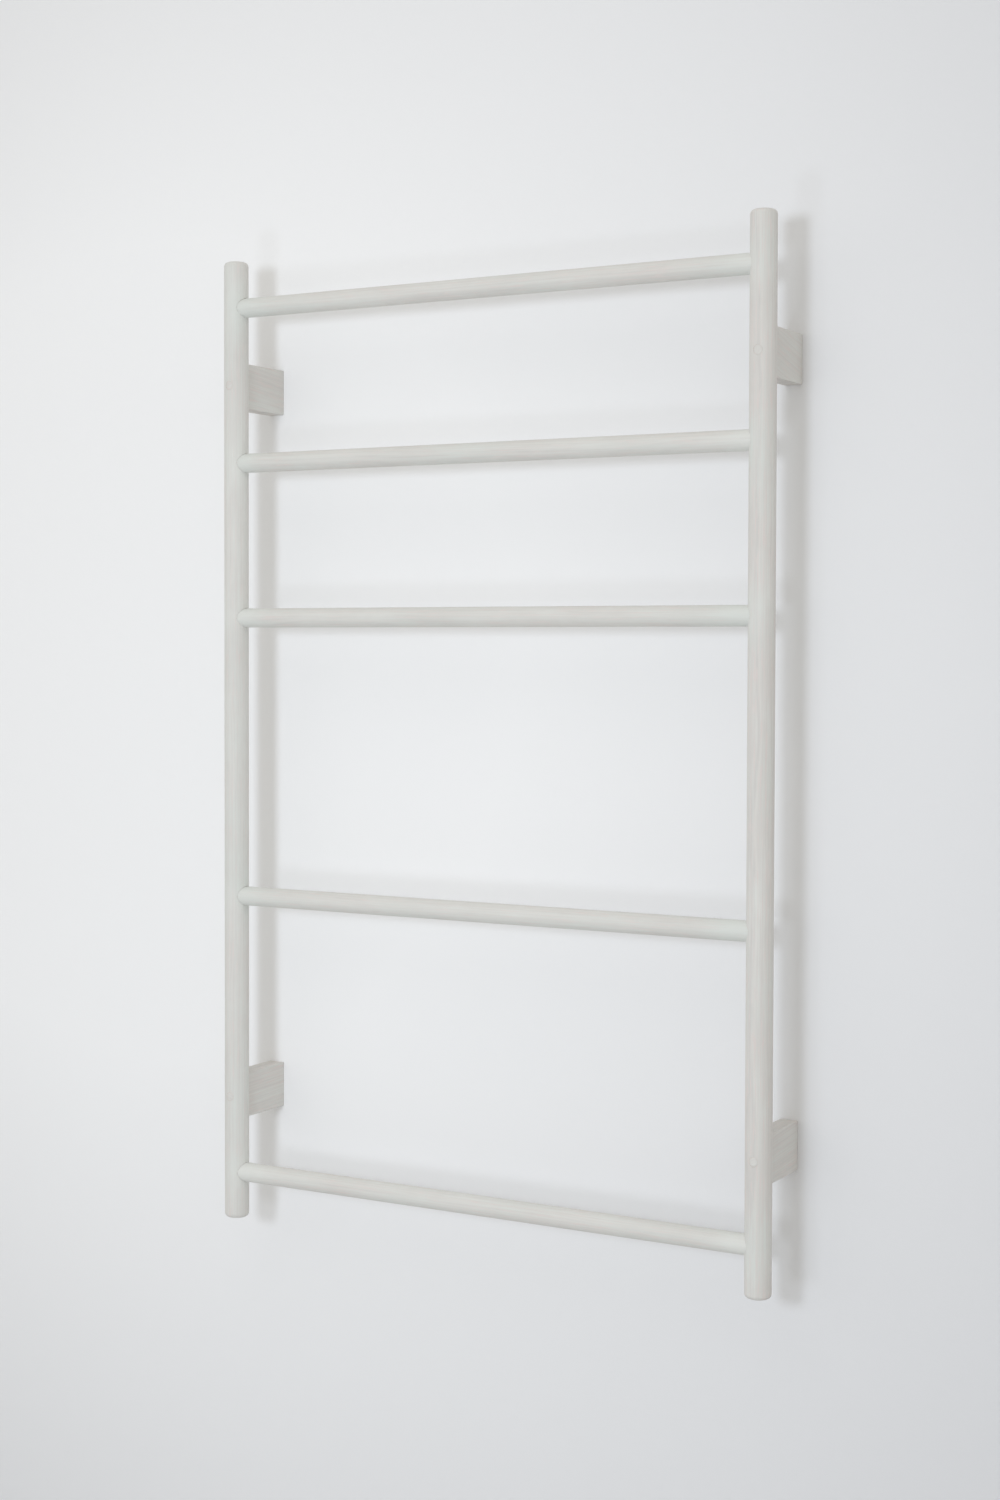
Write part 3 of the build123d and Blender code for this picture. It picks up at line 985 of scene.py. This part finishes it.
def stage_sheet(name, columns, rows, openings, place, material):
    """A flat sheet in x and y, of cells between the columns and rows, with some cells left open."""
    bm = bmesh.new()
    corners = [[bm.verts.new((x, y, 0)) for x in columns] for y in rows]
    for row in range(len(rows) - 1):
        for column in range(len(columns) - 1):
            if (column, row) not in openings:
                near = corners[row][column : column + 2]
                far = corners[row + 1][column : column + 2]
                bm.faces.new((near[0], near[1], far[1], far[0]))
    mesh = bpy.data.meshes.new(name)
    bm.to_mesh(mesh)
    bm.free()
    mesh.materials.append(material)
    sheet = bpy.data.objects.new(name, mesh)
    sheet.matrix_world = place
    bpy.context.scene.collection.objects.link(sheet)


def around(centres, width):
    """The lower and upper edge of a band of some width about each centre."""
    return [centre + side * width / 2 for centre in centres for side in (-1, 1)]


def matt_wall_with_painted_light():
    """Matt wall paint with a painted pool of light: the colour darkens slightly and cools away from one
    spot, as painted shade. From behind, the wall is clear.
    """
    nodes = Nodes("matt_wall_with_painted_light")
    coordinates = nodes.add("ShaderNodeTexCoord").outputs["Object"]
    stipple = nodes.noise(coordinates, (260, 260, 260), detail=3.0)
    away = nodes.add("ShaderNodeVectorMath", operation="DISTANCE")
    nodes.join(coordinates, away.inputs[0])
    away.inputs[1].default_value = (*PAINTED_LIGHT_SPOT, 0)
    paint = nodes.add("ShaderNodeBsdfDiffuse")
    painted_light_fall_off = nodes.remap(away.outputs["Value"], PAINTED_LIGHT_ENDS, PAINTED_SHADE_STARTS)
    nodes.join(nodes.mix(painted_light_fall_off, WALL_IN_PAINTED_LIGHT, WALL_IN_PAINTED_SHADE), paint.inputs["Color"])
    nodes.join(nodes.bump(stipple, distance=0.15 * MM, strength=0.4), paint.inputs["Normal"])
    clear = nodes.add("ShaderNodeBsdfTransparent")
    mix = nodes.add("ShaderNodeMixShader")
    nodes.join(nodes.add("ShaderNodeNewGeometry").outputs["Backfacing"], mix.inputs[0])
    nodes.join(paint.outputs[0], mix.inputs[1])
    nodes.join(clear.outputs[0], mix.inputs[2])
    nodes.join(mix.outputs[0], nodes.output.inputs["Surface"])
    return nodes.material


def pale_floor():
    nodes = Nodes("pale_floor")
    coordinates = nodes.add("ShaderNodeTexCoord").outputs["Object"]
    cloud = nodes.noise(coordinates, (1.5, 1.5, 1.5), detail=3.0)
    darker = tuple(0.96 * channel for channel in FLOOR_COLOUR)
    colour = nodes.mix(cloud, FLOOR_COLOUR, darker)
    return nodes.surface(base_color=colour, roughness=0.8)


COOL = (0.82, 0.89, 1.0)
WARM = (1.0, 0.99, 0.97)
ROOM_LIGHT = (1.0, 0.985, 0.95)


def soft_light(name, place, aim, size, power, colour):
    data = bpy.data.lights.new(name, "AREA")
    data.shape = "DISK"
    data.size = size
    data.energy = power
    data.color = colour
    lamp = bpy.data.objects.new(name, data)
    lamp.location = place
    lamp.visible_camera = False
    lamp.rotation_euler = (Vector(aim) - Vector(place)).to_track_quat("-Z", "Y").to_euler()
    bpy.context.scene.collection.objects.link(lamp)


def add_world(strength, colour):
    world = bpy.data.worlds.new("pale_room")
    world.use_nodes = True
    background = world.node_tree.nodes["Background"]
    background.inputs["Color"].default_value = (*colour, 1.0)
    background.inputs["Strength"].default_value = strength
    bpy.context.scene.world = world


# The wall is open behind the flat end of each block, so that the keyhole plates show from behind
wall_columns = [-WALL_WIDTH / 2, *around((-UPRIGHT_X, UPRIGHT_X), BLOCK.x - 2 * ARRIS), WALL_WIDTH / 2]
wall_rows = [FLOOR_Z, *around((-BLOCK_Z, BLOCK_Z), BLOCK.z - 2 * ARRIS), FLOOR_Z + WALL_HEIGHT]
behind_blocks = [(column, row) for column in (1, 3) for row in (1, 3)]
upright_sheet = Matrix.Rotation(math.pi / 2, 4, "X")
stage_sheet("stage_backdrop", wall_columns, wall_rows, behind_blocks, upright_sheet, matt_wall_with_painted_light())
floor_edges = (-FLOOR_WIDTH / 2, FLOOR_WIDTH / 2)
stage_sheet("stage_floor", floor_edges, floor_edges, [], at(0, 0, FLOOR_Z), pale_floor())
soft_light("key", (0.22, -2.93, 0.32), aim=(0, 0, 0.1), size=0.5, power=20.3, colour=COOL)
soft_light("low_key", (-0.05, -1.9, -0.5), aim=(0, 0, -0.5), size=0.34, power=2.8, colour=COOL)
soft_light("left_fill", (-1.9, -2.7, 0.5), aim=(-0.1, 0, 0.1), size=2.6, power=4, colour=WARM)
soft_light("top_fill", (0.1, -2.0, 2.3), aim=(0, 0, 0.1), size=2.0, power=7, colour=WARM)
soft_light("right_fill", (2.2, -0.25, 0.5), aim=(0.3, -0.05, 0.1), size=0.7, power=1.8, colour=WARM)
add_world(0.68, ROOM_LIGHT)
bpy.context.scene.view_settings.view_transform = "Standard"
